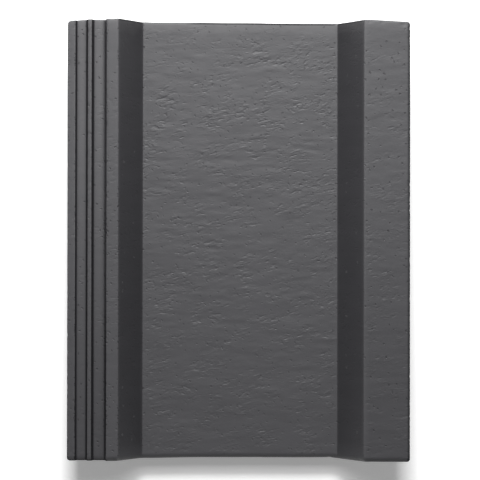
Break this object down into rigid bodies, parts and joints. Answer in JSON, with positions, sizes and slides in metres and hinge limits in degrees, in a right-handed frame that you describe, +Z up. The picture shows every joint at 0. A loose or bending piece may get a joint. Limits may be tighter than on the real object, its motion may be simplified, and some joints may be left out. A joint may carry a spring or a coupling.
{
  "type": "concrete roof tile",
  "caption": "Interlocking concrete roof tile with a wide flat pan between raised sides, a channelled underlock and a plain overlock.",
  "frame": {"origin": "middle of the tile's outline on the floor that it rests on", "axes": "+Y from the tail edge to the head edge, +X from the underlock to the overlock, +Z up from the floor"},
  "size_m": [0.3298, 0.4264, 0.0617],
  "materials": {
    "tile": "dark grey through-coloured concrete with a smooth satin coating"
  },
  "bodies": {
    "root": {"tile": "tile"}
  },
  "joints": []
}
